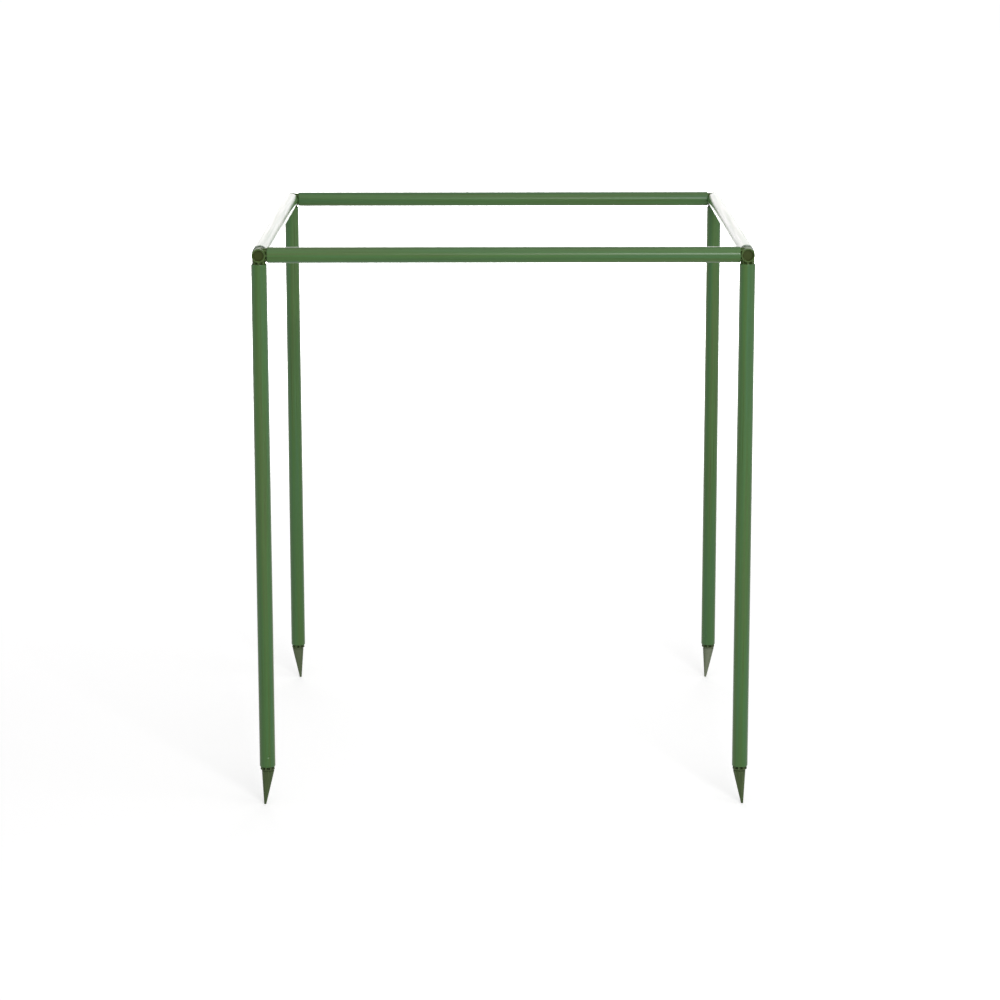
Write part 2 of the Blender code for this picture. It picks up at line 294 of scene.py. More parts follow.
# %% [markdown]
# ## Which way the points slant
# The tip of a point lies to one side of its leg, and each leg is turned another way. The dimple
# always lies a quarter turn from the slant, so the slant says how a leg stands. It is measured
# on the solid and not typed in: the lowest vertices of a point are its tip.

# %% Measure the slants
def slant_of(corner):
    """Angle from +X towards +Y in which the tip of the corner's point lies, seen from the leg."""
    places = [vertex.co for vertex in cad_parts[f"{corner}_point"].data.vertices]
    lowest = min(place.z for place in places)
    tips = [place for place in places if place.z < lowest + WELD]
    tip = sum(tips, Vector()) / len(tips)
    return atan2(tip.y - CORNER_PLACE[corner].y, tip.x - CORNER_PLACE[corner].x)


SLANT = {corner: slant_of(corner) for corner in CORNERS}
for corner, angle in SLANT.items():
    print(f"{corner}: slants towards {degrees(angle):.0f} degrees")

# %% [markdown]
# ## Legs
# All four legs are the same article. Each layer is spun upright with its foot at the origin and
# punched there, and the finished leg is then turned to its slant and set under its corner.

# %% Make the legs
LEG_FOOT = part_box("front_left_leg_coat")[0].z
LEG_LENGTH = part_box("front_left_leg_coat")[1].z - LEG_FOOT
leg_place = {}
for corner in CORNERS:
    foot = Vector((CORNER_PLACE[corner].x, CORNER_PLACE[corner].y, LEG_FOOT))
    leg_place[corner] = Matrix.Translation(foot) @ Matrix.Rotation(SLANT[corner], 4, "Z")
    for layer, sizes in LAYERS.items():
        shape = spun(tube_section(length=LEG_LENGTH, **sizes), closed=True)
        punch_dimple(shape)
        name = f"{corner}_leg_{'skin' if layer == 'coat' else 'steel'}"
        solid = f"{corner}_leg_{layer}"
        add_piece(name, shape, leg_place[corner], f"{corner}_leg", solid, f"tube_{layer}")
        shape.free()
print(f"legs: {LEG_LENGTH / MM:.1f} mm, {LEG_FOOT / MM:.1f} mm above the ground")

# %% [markdown]
# ## The ribs of a spigot
# A spigot is moulded with eight ribs, because ribs give way a little and grip the bore where a
# plain peg would jam or rattle. Eight boxes joined by Booleans would look alike, but their
# edges would stay sharp. So the ribs start as a flat outline, of one rib with half of the gap
# to the next one at each side.

# %% Outline of one rib
SPIGOT_RADIUS = 6.85 * MM
RIB_COUNT = 8
RIB_WIDTH = 1.8 * MM
RIB_HEIGHT = 2.7 * MM
CORE_RADIUS = SPIGOT_RADIUS - RIB_HEIGHT


def rib_outline():
    """Outline of one rib, with half of a gap at each side, as (radius, angle)."""
    half_pitch = pi / RIB_COUNT
    root = asin(RIB_WIDTH / 2 / CORE_RADIUS)
    tip = asin(RIB_WIDTH / 2 / SPIGOT_RADIUS)
    core = [(CORE_RADIUS, a) for a in (-half_pitch, -(half_pitch + root) / 2, -root)]
    top = [(SPIGOT_RADIUS, a) for a in (-tip, 0, tip)]
    return core + top + [(radius, -a) for radius, a in reversed(core)]


print(f"rib: {RIB_WIDTH / MM:.1f} mm wide, {RIB_HEIGHT / MM:.1f} mm high")

# %% [markdown]
# ## Eight ribs make a star
# Spin sets eight copies of the outline round the axis, their ends are welded, and the closed
# line gets a face. A moulded corner is never quite sharp, so a bevel rounds each corner that
# turns by more than fifty degrees.

# %% Star section
RIB_ROUNDING = 0.22 * MM
SHARP_CORNER = radians(50)


def corner_turn(vertex):
    """How far the outline turns at one of its vertices."""
    first, second = [edge.other_vert(vertex).co - vertex.co for edge in vertex.link_edges]
    return pi - first.angle(second)


def star(level):
    """A flat star-shaped face at this level, with one rib towards -Y."""
    shape = bmesh.new()
    outline = []
    for radius, angle in rib_outline():
        turn = angle - pi / 2
        outline.append(shape.verts.new((radius * cos(turn), radius * sin(turn), level)))
    for start, end in zip(outline, outline[1:]):
        shape.edges.new((start, end))
    bmesh.ops.spin(
        shape,
        geom=shape.verts[:] + shape.edges[:],
        cent=(0, 0, 0),
        axis=(0, 0, 1),
        angle=2 * pi * (RIB_COUNT - 1) / RIB_COUNT,
        steps=RIB_COUNT - 1,
        use_duplicate=True,
    )
    bmesh.ops.remove_doubles(shape, verts=shape.verts, dist=WELD)
    bmesh.ops.contextual_create(shape, geom=shape.edges[:])
    bmesh.ops.bevel(
        shape,
        geom=[vertex for vertex in shape.verts if corner_turn(vertex) > SHARP_CORNER],
        offset=RIB_ROUNDING,
        segments=3,
        profile=0.5,
        affect="VERTICES",
        material=-1,
    )
    return shape


flat_star = star(0)
print(f"star: {RIB_COUNT} ribs, {len(flat_star.verts)} vertices round it")
flat_star.free()

# %% [markdown]
# ## Ribbed rods
# The star is pulled up level by level. At each level the tips of the ribs move in or out, which
# gives the draft that lets the piece leave its mould and the lead-in at its end. The core stays
# as it is, so a plain scaling of the whole star would be wrong here.

# %% Pull the star into a ribbed rod
TIP_FROM = CORE_RADIUS + RIB_HEIGHT / 2


def scale_tips(shape, outline, factor):
    """Moves the ribs' tips of one outline in or out, and leaves the core between them."""
    tips = [vertex for vertex in outline if vertex.co.xy.length > TIP_FROM]
    bmesh.ops.scale(shape, verts=tips, vec=(factor, factor, 1))


def ribbed_rod(levels):
    """A ribbed rod along Z, from (height, radius over the ribs) levels in rising order."""
    shape = star(levels[0][0])
    bottom = top = next(iter(shape.faces))
    scale_tips(shape, top.verts, levels[0][1] / SPIGOT_RADIUS)
    for (height, radius), (next_height, next_radius) in zip(levels, levels[1:]):
        grown = bmesh.ops.extrude_face_region(shape, geom=[top])["geom"]
        if top is not bottom:
            bmesh.ops.delete(shape, geom=[top], context="FACES_ONLY")
        top = next(item for item in grown if isinstance(item, bmesh.types.BMFace))
        bmesh.ops.translate(shape, verts=top.verts, vec=(0, 0, next_height - height))
        scale_tips(shape, top.verts, next_radius / radius)
    bmesh.ops.recalc_face_normals(shape, faces=shape.faces)
    return shape


print(f"ribs: what lies over {TIP_FROM / MM:.2f} mm from the axis moves as a tip")

# %% [markdown]
# ## Booleans
# The moulded pieces are one body each, though they are easiest to make as a few simple shapes
# that overlap. A Boolean joins them into one skin with nothing left inside. The shapes become
# objects for a moment, because Booleans are modifiers, and the result is read back as a mesh.
# One object could take all the modifiers at once. But each leaves points a hair apart, and now
# and then the next one then takes outside for inside, so each result is welded first.

# %% Join and cut shapes
def helper_object(shape, place):
    mesh = bpy.data.meshes.new("helper")
    shape.to_mesh(mesh)
    shape.free()
    mesh.transform(place)
    helper = bpy.data.objects.new("helper", mesh)
    bpy.context.scene.collection.objects.link(helper)
    return helper


def boolean(operation, base, other):
    """The welded result of one Boolean of two (shape, place) pairs, which are used up."""
    body, tool = helper_object(*base), helper_object(*other)
    modifier = body.modifiers.new(operation.title(), "BOOLEAN")
    modifier.operation = operation
    modifier.object = tool
    bpy.context.view_layer.update()
    shape = bmesh.new()
    shape.from_object(body, bpy.context.evaluated_depsgraph_get())
    for helper in (body, tool):
        bpy.data.objects.remove(helper)
    bmesh.ops.remove_doubles(shape, verts=shape.verts, dist=WELD)
    return shape


def combined(base, joined, cut=()):
    """One closed shape from (shape, place) pairs: a base, what joins it and what is cut away."""
    steps = [("UNION", pair) for pair in joined] + [("DIFFERENCE", pair) for pair in cut]
    for operation, pair in steps:
        base = (boolean(operation, base, pair), Matrix.Identity(4))
    return base[0]


def open_edges(shape):
    """How many edges don't join just two faces: a closed shape has none."""
    return sum(not edge.is_manifold for edge in shape.edges)


print(f"Booleans: points closer than {WELD / MM:.3f} mm are welded after each")

# %% [markdown]
# ## Corner connectors
# A connector is a short hub with a spigot to each of three tubes. Its outer end is hollowed to
# a shallow dish, because a moulder keeps walls thin: a thick lump sinks in as it cools. The
# hub's sizes are read from the front left solid, whose dish faces the front, so that the
# dressed piece can't drift from it. A box doesn't show the dish or the roundings, so their
# sizes are given.

# %% Sizes of the connector
DISH_DEPTH = 3.0 * MM
DISH_WALL = 1.5 * MM
DISH_DRAFT = 0.2 * MM
DISH_ROUNDING = 0.35 * MM
HUB_ROUNDING = 0.4 * MM

solid_low, solid_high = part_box("front_left_connector")
hub_middle = CORNER_PLACE["front_left"]
HUB_RADIUS = solid_high.z - hub_middle.z
HUB_FRONT = hub_middle.y - solid_low.y
ACROSS_TIP = solid_high.x - hub_middle.x
ALONG_TIP = solid_high.y - hub_middle.y
HUB_BACK = ALONG_TIP - (ACROSS_TIP - HUB_RADIUS)
print(f"hub: {HUB_RADIUS * 2 / MM:.1f} mm across, spigots end {ACROSS_TIP / MM:.1f} mm out")

# %% [markdown]
# ## Hub and dish
# Both are turned. The dish is a plug, wider at its mouth than at its floor, that a Boolean
# takes out of the hub. An inset and a push inwards would also hollow the hub, but a plug
# carries the draft and the rounding of its floor along with it.

# %% Turn the hub and the dish
def hub():
    """The hub along Z, with its outer end up."""
    rim = (HUB_RADIUS - HUB_ROUNDING, HUB_FRONT - HUB_ROUNDING)
    back = (HUB_RADIUS - HUB_ROUNDING, -HUB_BACK + HUB_ROUNDING)
    reach = (HUB_ROUNDING, HUB_ROUNDING)
    side = arc(rim, reach, 90, 0) + arc(back, reach, 0, -90)
    return spun([(0, HUB_FRONT)] + side + [(0, -HUB_BACK)])


def dish():
    """What the dish takes out of the hub: rounded at its floor, flared at its mouth."""
    mouth = HUB_RADIUS - DISH_WALL
    floor = HUB_FRONT - DISH_DEPTH
    reach = (DISH_ROUNDING, DISH_ROUNDING)
    foot = (mouth - DISH_DRAFT - DISH_ROUNDING, floor + DISH_ROUNDING)
    lip = (mouth + DISH_ROUNDING, HUB_FRONT - DISH_ROUNDING)
    outer = arc(lip, reach, 90, 180) + arc(foot, reach, 0, -90)
    above = HUB_FRONT + DISH_ROUNDING
    return spun([(0, above), (mouth + DISH_ROUNDING, above)] + outer + [(0, floor)])


print(f"dish: {2 * (HUB_RADIUS - DISH_WALL) / MM:.1f} mm across, {DISH_DEPTH / MM:.1f} mm deep")

# %% [markdown]
# ## How a spigot tapers
# A spigot loses a little width towards its end, so that it comes out of the mould. Its last
# three millimetres slope in more, so that it finds its way into the tube, and the very end is
# rounded.

# %% Levels of a spigot
SPIGOT_DRAFT = 0.15 * MM
LEAD_IN_LENGTH = 3.0 * MM
LEAD_IN_DEPTH = 0.7 * MM
END_ROUNDING = 0.3 * MM
END_CORNER = 0.3


def spigot_levels(root, tip, draft):
    """Levels of a spigot: a slight draft, then a lead-in and a rounded end."""
    drafted = SPIGOT_RADIUS - draft
    led_in = drafted - LEAD_IN_DEPTH
    slope = LEAD_IN_DEPTH / LEAD_IN_LENGTH
    return [
        (root, SPIGOT_RADIUS),
        (tip - LEAD_IN_LENGTH - SECTION_BRACE, drafted),
        (tip - LEAD_IN_LENGTH, drafted - SECTION_BRACE * slope),
        (tip - END_ROUNDING, led_in + END_ROUNDING * slope),
        (tip - END_ROUNDING * END_CORNER, led_in - END_ROUNDING * END_CORNER),
        (tip, led_in - END_ROUNDING),
    ]


across = spigot_levels(0, ACROSS_TIP, SPIGOT_DRAFT)
along = spigot_levels(HUB_BACK - SECTION_BRACE, ALONG_TIP, SPIGOT_DRAFT)
print("spigot:", ", ".join(f"{2 * radius / MM:.2f} mm" for _, radius in across), "across")

# %% [markdown]
# ## One moulding for four corners
# The hub and the three spigots are joined and the dish is cut from them. All four corners are
# the same moulding, only turned another way, so it is made once.

# %% Join the connector
outer_end_to_front = Matrix.Rotation(pi / 2, 4, "X")
connector = combined(
    (hub(), outer_end_to_front),
    [
        (ribbed_rod(across), UPRIGHT_TO_X),
        (ribbed_rod(along), UPRIGHT_TO_Y),
        (ribbed_rod(across), Matrix.Rotation(pi, 4, "X")),
    ],
    [(dish(), outer_end_to_front)],
)
print(f"connector: {len(connector.faces)} faces, {open_edges(connector)} open edges")

# %% [markdown]
# ## The four connectors
# Each copy is turned so that its spigots point into its own three tubes. Shade is painted into the
# dish: its plastic gets a darker colour that stands in for the shade of the recess, so each vertex
# is told whether it lies in there, and the finish reads that. Faces with a second material would
# look alike, but each piece has just the one that its slot names.

# %% Place the connectors
CORNER_TURN = {
    "front_left": Matrix.Identity(4),
    "front_right": Matrix.Rotation(pi / 2, 4, "Y"),
    "back_left": Matrix.Rotation(pi, 4, "Z") @ Matrix.Rotation(pi / 2, 4, "Y"),
    "back_right": Matrix.Rotation(pi, 4, "Z"),
}
FLOOR_SLACK = 1.0 * MM  # the solid plastic behind the dish has no vertices of its own


# Where the dish's painted shade goes: a darker colour stands in for the shade in the recess.
def painted_shade_in_dish(place):
    """1 inside the dish and 0 elsewhere, for a place on the connector."""
    within_wall = hypot(place.x, place.z) < HUB_RADIUS - DISH_WALL + WELD
    over_floor = place.y < DISH_DEPTH - HUB_FRONT + FLOOR_SLACK
    return float(within_wall and over_floor)


def add_painted_light(piece, shape, amount):
    """Stores on each vertex how much of the painted light's colour it takes: shade in a dish, a
    highlight on a point.
    """
    patch = piece.data.attributes.new("patch", "FLOAT", "POINT")
    for vertex, entry in zip(shape.verts, patch.data):
        entry.value = amount(vertex.co)


for corner in CORNERS:
    place = Matrix.Translation(CORNER_PLACE[corner]) @ CORNER_TURN[corner]
    body = "right_frame" if "right" in corner else "left_frame"
    solid = f"{corner}_connector"
    name = f"{corner}_corner_joint"
    joint = add_piece(name, connector, place, body, solid, "connector_plastic")
    add_painted_light(joint, connector, painted_shade_in_dish)
    print(f"{name} rides on {body}")
connector.free()

# %% [markdown]
# ## Ground points
# A point is pushed into the foot of a leg. Under the leg's end come the ribs' shoulders, a thin
# plate that takes the blow when the leg is driven in, a ring and a groove, and then a long cone
# whose tip lies to one side. Everything is measured down from the foot of the leg, which is
# level 0 of this piece, and the tip ends on the ground.

# %% Sizes of the ground point
SEAT_GAP = 0.3 * MM
SHOULDER_HEIGHT = 2.3 * MM
PLATE_THICKNESS = 0.7 * MM
RING_HEIGHT = 0.9 * MM
GROOVE_HEIGHT = 0.8 * MM
TIP_OFFSET = 3.1 * MM
HEAD_OFFSET = 0.6 * MM

PLATE_TOP = -SEAT_GAP - SHOULDER_HEIGHT
HEAD_TOP = PLATE_TOP - PLATE_THICKNESS
GROOVE_TOP = HEAD_TOP - RING_HEIGHT
CONE_TOP = GROOVE_TOP - GROOVE_HEIGHT
TIP_LEVEL = -LEG_FOOT
SPIGOT_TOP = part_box("front_left_point")[1].z - LEG_FOOT
PLATE_RADIUS = (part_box("front_left_point")[1].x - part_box("front_left_point")[0].x) / 2
LEAN = (TIP_OFFSET + HEAD_OFFSET) / (HEAD_TOP - TIP_LEVEL)
print(f"cone: {(CONE_TOP - TIP_LEVEL) / MM:.1f} mm long, tip {TIP_OFFSET / MM:.1f} mm to the side")

# %% [markdown]
# ## Plate and head
# The plate is a thin disc with rounded edges. Ring, groove and cone are one section that is
# turned upright and then sheared, which keeps every slice of the cone round, as a bend would
# not.

# %% Turn the plate and the head
RING_RADIUS = 6.35 * MM
GROOVE_DEPTH = 0.8 * MM
TIP_RADIUS = 1.2 * MM
TIP_ROUNDING = 0.4 * MM
POINT_ROUNDING = 0.2 * MM


def plate():
    radius = PLATE_RADIUS - POINT_ROUNDING
    reach = (POINT_ROUNDING, POINT_ROUNDING)
    upper = arc((radius, PLATE_TOP - POINT_ROUNDING), reach, 90, 0)
    lower = arc((radius, HEAD_TOP + POINT_ROUNDING), reach, 0, -90)
    return spun([(0, PLATE_TOP)] + upper + lower + [(0, HEAD_TOP)])


def head():
    """Ring, groove and cone, upright. It starts inside the plate, so that the two overlap."""
    inside = HEAD_TOP + PLATE_THICKNESS / 2
    edge = RING_RADIUS - POINT_ROUNDING
    reach = (POINT_ROUNDING, POINT_ROUNDING)
    groove = RING_RADIUS - GROOVE_DEPTH
    tip_reach = (TIP_ROUNDING, TIP_ROUNDING)
    section = [(0, inside), (RING_RADIUS, inside)]
    section += arc((edge, GROOVE_TOP + POINT_ROUNDING), reach, 0, -90)
    section += [(groove, GROOVE_TOP), (groove, CONE_TOP)]
    section += arc((edge, CONE_TOP - POINT_ROUNDING), reach, 90, 0)
    section += arc((TIP_RADIUS - TIP_ROUNDING, TIP_LEVEL + TIP_ROUNDING), tip_reach, 0, -90)
    return spun(section + [(0, TIP_LEVEL)])


def axis_of_head(level):
    """X of the sheared head's axis at a level."""
    return LEAN * (HEAD_TOP - level) - HEAD_OFFSET


shear = Matrix.Identity(4)
shear[0][2] = -LEAN
shear[0][3] = axis_of_head(0)
print(f"head: {2 * RING_RADIUS / MM:.1f} mm across, moved {-LEAN:.3f} mm sideways for each mm up")

# %% [markdown]
# ## One point for four legs
# Shoulders and spigot are one ribbed rod, so the ribs run through from the leg's bore to the
# plate. The rod is turned by half the way from one rib to the next, which sets a pocket and
# not a rib over the slant of the cone.

# %% Join the ground point
SHOULDER_RADIUS = 7.2 * MM
SHOULDER_STEP = 0.05 * MM

shoulder = [
    (PLATE_TOP - PLATE_THICKNESS / 2, SHOULDER_RADIUS),
    (-SEAT_GAP - POINT_ROUNDING, SHOULDER_RADIUS),
    (-SEAT_GAP - SHOULDER_STEP, SHOULDER_RADIUS - POINT_ROUNDING),
]
spigot = spigot_levels(-SEAT_GAP, SPIGOT_TOP, 0)
between_ribs_to_x = Matrix.Rotation(pi / RIB_COUNT, 4, "Z")
point = combined(
    (ribbed_rod(shoulder + spigot), between_ribs_to_x),
    [(plate(), Matrix.Identity(4)), (head(), shear)],
)
print(f"ground point: {len(point.faces)} faces, {open_edges(point)} open edges")

# %% [markdown]
# ## Streaks and painted highlight on the points
# The streaks of a point's finish run down its cone and meet at the tip. A noise that is stretched
# along Z can't do that by itself, so each vertex of the cone is given the place that it would have
# on a straight rod. A highlight is painted on in a pale grey, most of all on the side that faces
# the front, and the two at the back get the most. Each vertex holds how much of that painted
# highlight it takes.

# %% Place the ground points
# Painted highlight: the most pale grey that each point takes, in place of light that catches it.
HIGHLIGHT_SHARE = {"front_left": 0.0, "front_right": 0.0, "back_left": 0.26, "back_right": 0.9}
HIGHLIGHT_ALL_ROUND = 0.4


def place_round_cone(place):
    """Place on a point with its cone made straight and even, so streaks run on to the tip."""
    offset = Vector((place.x, place.y, 0))
    if place.z < HEAD_TOP:
        offset.x -= axis_of_head(place.z)
        offset = offset.normalized() * RING_RADIUS
    return offset + Vector((0, 0, place.z))


# Painted highlight: a pale colour stands in for light caught on the point's front side.
def highlighted(place, corner):
    """How much painted highlight a place on a corner's point takes, from 0 to 1: most on its front
    side.
    """
    if place.z > HEAD_TOP:
        return 0.0
    outward = Vector((place.x - axis_of_head(place.z), place.y, 0)).normalized()
    front = Vector((-sin(SLANT[corner]), -cos(SLANT[corner]), 0))
    facing = max(0.0, outward.dot(front)) ** 2
    return HIGHLIGHT_SHARE[corner] * (HIGHLIGHT_ALL_ROUND + (1 - HIGHLIGHT_ALL_ROUND) * facing)


for corner in CORNERS:
    name = f"{corner}_ground_point"
    solid = f"{corner}_point"
    piece = add_piece(
        name, point, leg_place[corner], f"{corner}_leg", solid, "point_plastic", place_round_cone
    )
    add_painted_light(piece, point, lambda place: highlighted(place, corner))
    print(f"{name}: rubbed by {HIGHLIGHT_SHARE[corner]:.0%} at most")
point.free()

# %% [markdown]
# ## Colours
# Colours are written as the hex values that a designer would read off a sample. Blender's
# shaders work in linear light, in which a doubled number is twice the light, so one function
# turns the one into the other. Its curve is the sRGB standard's: straight next to black, and a
# power of 2.4 from there on.

# %% Hex to linear light
def linear(hex_colour):
    channels = [int(hex_colour[start : start + 2], 16) / 255 for start in (1, 3, 5)]
    light = [c / 12.92 if c <= 0.04045 else ((c + 0.055) / 1.055) ** 2.4 for c in channels]
    return (*light, 1.0)


print(f"#808080 looks half as bright as white, but gives {linear('#808080')[0]:.0%} of its light")

# %% [markdown]
# ## Nodes
# A finish is a tree of nodes. One function adds a node with its settings and its links, so that
# each finish below reads as a short list of what feeds what. A Mix node has sockets of one name
# for numbers, vectors and colours, so the ones for colours are picked by their number.

# %% Node helpers
MIX_SHARE, MIX_FIRST, MIX_SECOND, MIX_RESULT = 0, 6, 7, 2
finishes = {}


def new_finish(name):
    """An empty material and its tree."""
    material = bpy.data.materials.new(name)
    material.use_nodes = True
    material.node_tree.nodes.clear()
    return material, material.node_tree


def add_node(tree, kind, inputs=None, **settings):
    """Adds a node. Inputs map each socket to its value or to the output that feeds it."""
    node = tree.nodes.new(kind)
    for name, value in settings.items():
        setattr(node, name, value)
    for socket, value in (inputs or {}).items():
        if isinstance(value, bpy.types.NodeSocket):
            tree.links.new(value, node.inputs[socket])
        else:
            node.inputs[socket].default_value = value
    return node


print(f"{len({piece['slot_name'] for piece in pieces})} finishes are needed")

# %% [markdown]
# ## The tube's skin: its colour
# The skin is low-density polyethylene, extruded on to the steel and coloured right through. The
# pigment lies in long faint bands that lean to blue or to yellow. A painted picture of them
# would end at a seam, so they are a noise, which has none. It is stretched: it changes quickly
# round the tube and slowly along it. Noise varies round 0.5, so what lies over that is tinted
# one way and what lies under it the other.

# %% Skin: bands of pigment
LEAF_GREEN = "#3c6429"
BLUER_GREEN = "#376136"
OLIVE_GREEN = "#465f28"
BAND_WIDTH = 5.0 * MM
BAND_LENGTH = 260.0 * MM
BAND_SPREAD = 0.22

skin, tree = new_finish("extruded_polyethylene_skin")
place = add_node(tree, "ShaderNodeAttribute", attribute_name="own_place").outputs["Vector"]
along = add_node(
    tree, "ShaderNodeMapping", {"Vector": place, "Scale": (1, 1, BAND_WIDTH / BAND_LENGTH)}
).outputs["Vector"]
bands = add_node(
    tree, "ShaderNodeTexNoise", {"Vector": along, "Scale": 1 / BAND_WIDTH, "Detail": 3.0}
).outputs["Fac"]
colour = linear(LEAF_GREEN)
for tint, limit in ((BLUER_GREEN, 0.5 + BAND_SPREAD), (OLIVE_GREEN, 0.5 - BAND_SPREAD)):
    share = add_node(
        tree, "ShaderNodeMapRange", {"Value": bands, "From Min": 0.5, "From Max": limit}
    ).outputs["Result"]
    colour = add_node(
        tree,
        "ShaderNodeMix",
        {MIX_SHARE: share, MIX_FIRST: colour, MIX_SECOND: linear(tint)},
        data_type="RGBA",
    ).outputs[MIX_RESULT]
print(f"skin: bands {BAND_WIDTH / MM:.0f} mm wide and {BAND_LENGTH / MM:.0f} mm long")

# %% [markdown]
# ## The tube's skin: grain and waves
# The plastic has a fine grain, and the melt leaves soft waves as it is drawn from the die. Both
# make it a little lighter and darker. Each shade is a number near 1 that multiplies the colour.

# %% Skin: light and dark
GRAIN_WIDTH = 0.25 * MM
WAVE_WIDTH = 2.5 * MM

grain = add_node(
    tree, "ShaderNodeTexNoise", {"Vector": place, "Scale": 1 / GRAIN_WIDTH, "Detail": 2.0}
).outputs["Fac"]
waves = add_node(
    tree, "ShaderNodeTexNoise", {"Vector": along, "Scale": 1 / WAVE_WIDTH, "Detail": 2.0}
).outputs["Fac"]
SHADES = [
    {"Value": grain, "To Min": 0.93, "To Max": 1.07},
    {"Value": waves, "From Min": 0.3, "From Max": 0.7, "To Min": 0.9, "To Max": 1.08},
]
for shade in SHADES:
    factor = add_node(tree, "ShaderNodeMapRange", shade).outputs["Result"]
    colour = add_node(
        tree,
        "ShaderNodeMix",
        {MIX_SHARE: 1.0, MIX_FIRST: colour, MIX_SECOND: factor},
        data_type="RGBA",
        blend_type="MULTIPLY",
    ).outputs[MIX_RESULT]
    print(f"skin: shaded from {shade['To Min']} to {shade['To Max']}")

# %% [markdown]
# ## The tube's skin: sheen and relief
# The die draws fine lines along the tube, and the waves are waves of gloss too. Lines and grain
# are bump, because they are far finer than the mesh, and both are drawn about twice as wide as
# they are, or they would not show. The pale edges of a tube are its sheen alone, and no paler
# colour is given to them. The sheen is a little weaker than the IOR says, because fine
# scratches break it up.

# %% Skin: gloss and die lines
DIE_LINE_WIDTH = 0.45 * MM
DIE_LINE_DEPTH = 0.02 * MM
GRAIN_DEPTH = 0.01 * MM
POLYETHYLENE_IOR = 1.51
SKIN_SPECULAR = 0.38
SKIN_ROUGHNESS = (0.22, 0.38)

roughness = add_node(
    tree,
    "ShaderNodeMapRange",
    {"Value": waves, "To Min": SKIN_ROUGHNESS[0], "To Max": SKIN_ROUGHNESS[1]},
).outputs["Result"]
die_lines = add_node(
    tree, "ShaderNodeTexNoise", {"Vector": along, "Scale": 1 / DIE_LINE_WIDTH, "Detail": 2.0}
).outputs["Fac"]
lined = add_node(
    tree,
    "ShaderNodeBump",
    {"Height": die_lines, "Strength": 0.35, "Distance": DIE_LINE_DEPTH},
).outputs["Normal"]
relief = add_node(
    tree,
    "ShaderNodeBump",
    {"Height": grain, "Strength": 0.25, "Distance": GRAIN_DEPTH, "Normal": lined},
).outputs["Normal"]
shader = add_node(
    tree,
    "ShaderNodeBsdfPrincipled",
    {
        "Base Color": colour,
        "Roughness": roughness,
        "IOR": POLYETHYLENE_IOR,
        "Specular IOR Level": SKIN_SPECULAR,
        "Normal": relief,
    },
).outputs["BSDF"]
add_node(tree, "ShaderNodeOutputMaterial", {"Surface": shader})
finishes["tube_coat"] = skin
print(f"finish: {skin.name}, {len(tree.nodes)} nodes")

# %% [markdown]
# ## The steel inside
# The steel is a thin strip that is rolled round and welded, and it shows only at the cut ends.
# A saw leaves it bright with fine marks all round the edge. Metal shows nothing but what it
# mirrors, so the shader is fully metallic, and the light grey only tints the mirror image.

# %% Cut steel
STEEL_GREY = "#b9bcbb"
DULL_STEEL = "#8d9190"
SAW_LINE = 0.12 * MM
SAW_DEPTH = 0.01 * MM
STEEL_ROUGHNESS = (0.28, 0.5)

steel, tree = new_finish("cold_rolled_steel")
place = add_node(tree, "ShaderNodeAttribute", attribute_name="own_place").outputs["Vector"]
marks = add_node(
    tree, "ShaderNodeTexNoise", {"Vector": place, "Scale": 1 / SAW_LINE, "Detail": 3.0}
).outputs["Fac"]
colour = add_node(
    tree,
    "ShaderNodeMix",
    {MIX_SHARE: marks, MIX_FIRST: linear(STEEL_GREY), MIX_SECOND: linear(DULL_STEEL)},
    data_type="RGBA",
).outputs[MIX_RESULT]
roughness = add_node(
    tree,
    "ShaderNodeMapRange",
    {"Value": marks, "To Min": STEEL_ROUGHNESS[0], "To Max": STEEL_ROUGHNESS[1]},
).outputs["Result"]
relief = add_node(
    tree, "ShaderNodeBump", {"Height": marks, "Strength": 0.4, "Distance": SAW_DEPTH}
).outputs["Normal"]
shader = add_node(
    tree,
    "ShaderNodeBsdfPrincipled",
    {"Base Color": colour, "Metallic": 1.0, "Roughness": roughness, "Normal": relief},
).outputs["BSDF"]
add_node(tree, "ShaderNodeOutputMaterial", {"Surface": shader})
finishes["tube_core"] = steel
print(f"finish: {steel.name}, {len(tree.nodes)} nodes")

# %% [markdown]
# ## Moulded plastic: colour and relief
# Connectors and points are both moulded polypropylene, so one pair of functions draws what they
# share. The flow of the melt leaves soft clouds that are a little lighter or darker, and the
# mould's surface leaves a fine grain. Real grain is under 0.1 mm wide, too fine to show, so it is
# drawn three times as coarse. A third colour, which is painted shade in the connectors' dish and a
# painted highlight on the points, lies wherever the vertices of the piece say so.

# %% Clouds, patch and grain
SPARK_GRAIN = 0.3 * MM
SPARK_DEPTH = 0.02 * MM
CLOUD_DEPTH = 0.03 * MM
CLOUD_SPREAD = 0.15


def moulded_colour(tree, clouds, light, dark, painted_light_colour):
    """Two shades that change with the clouds, and a third on the patch: painted shade in a dish, a
    painted highlight on a point.
    """
    shares = [
        add_node(
            tree,
            "ShaderNodeMapRange",
            {"Value": clouds, "From Min": 0.5 - CLOUD_SPREAD, "From Max": 0.5 + CLOUD_SPREAD},
        ).outputs["Result"],
        add_node(tree, "ShaderNodeAttribute", attribute_name="patch").outputs["Fac"],
    ]
    colour = linear(light)
    for share, shade in zip(shares, (dark, painted_light_colour)):
        colour = add_node(
            tree,
            "ShaderNodeMix",
            {MIX_SHARE: share, MIX_FIRST: colour, MIX_SECOND: linear(shade)},
            data_type="RGBA",
        ).outputs[MIX_RESULT]
    return colour


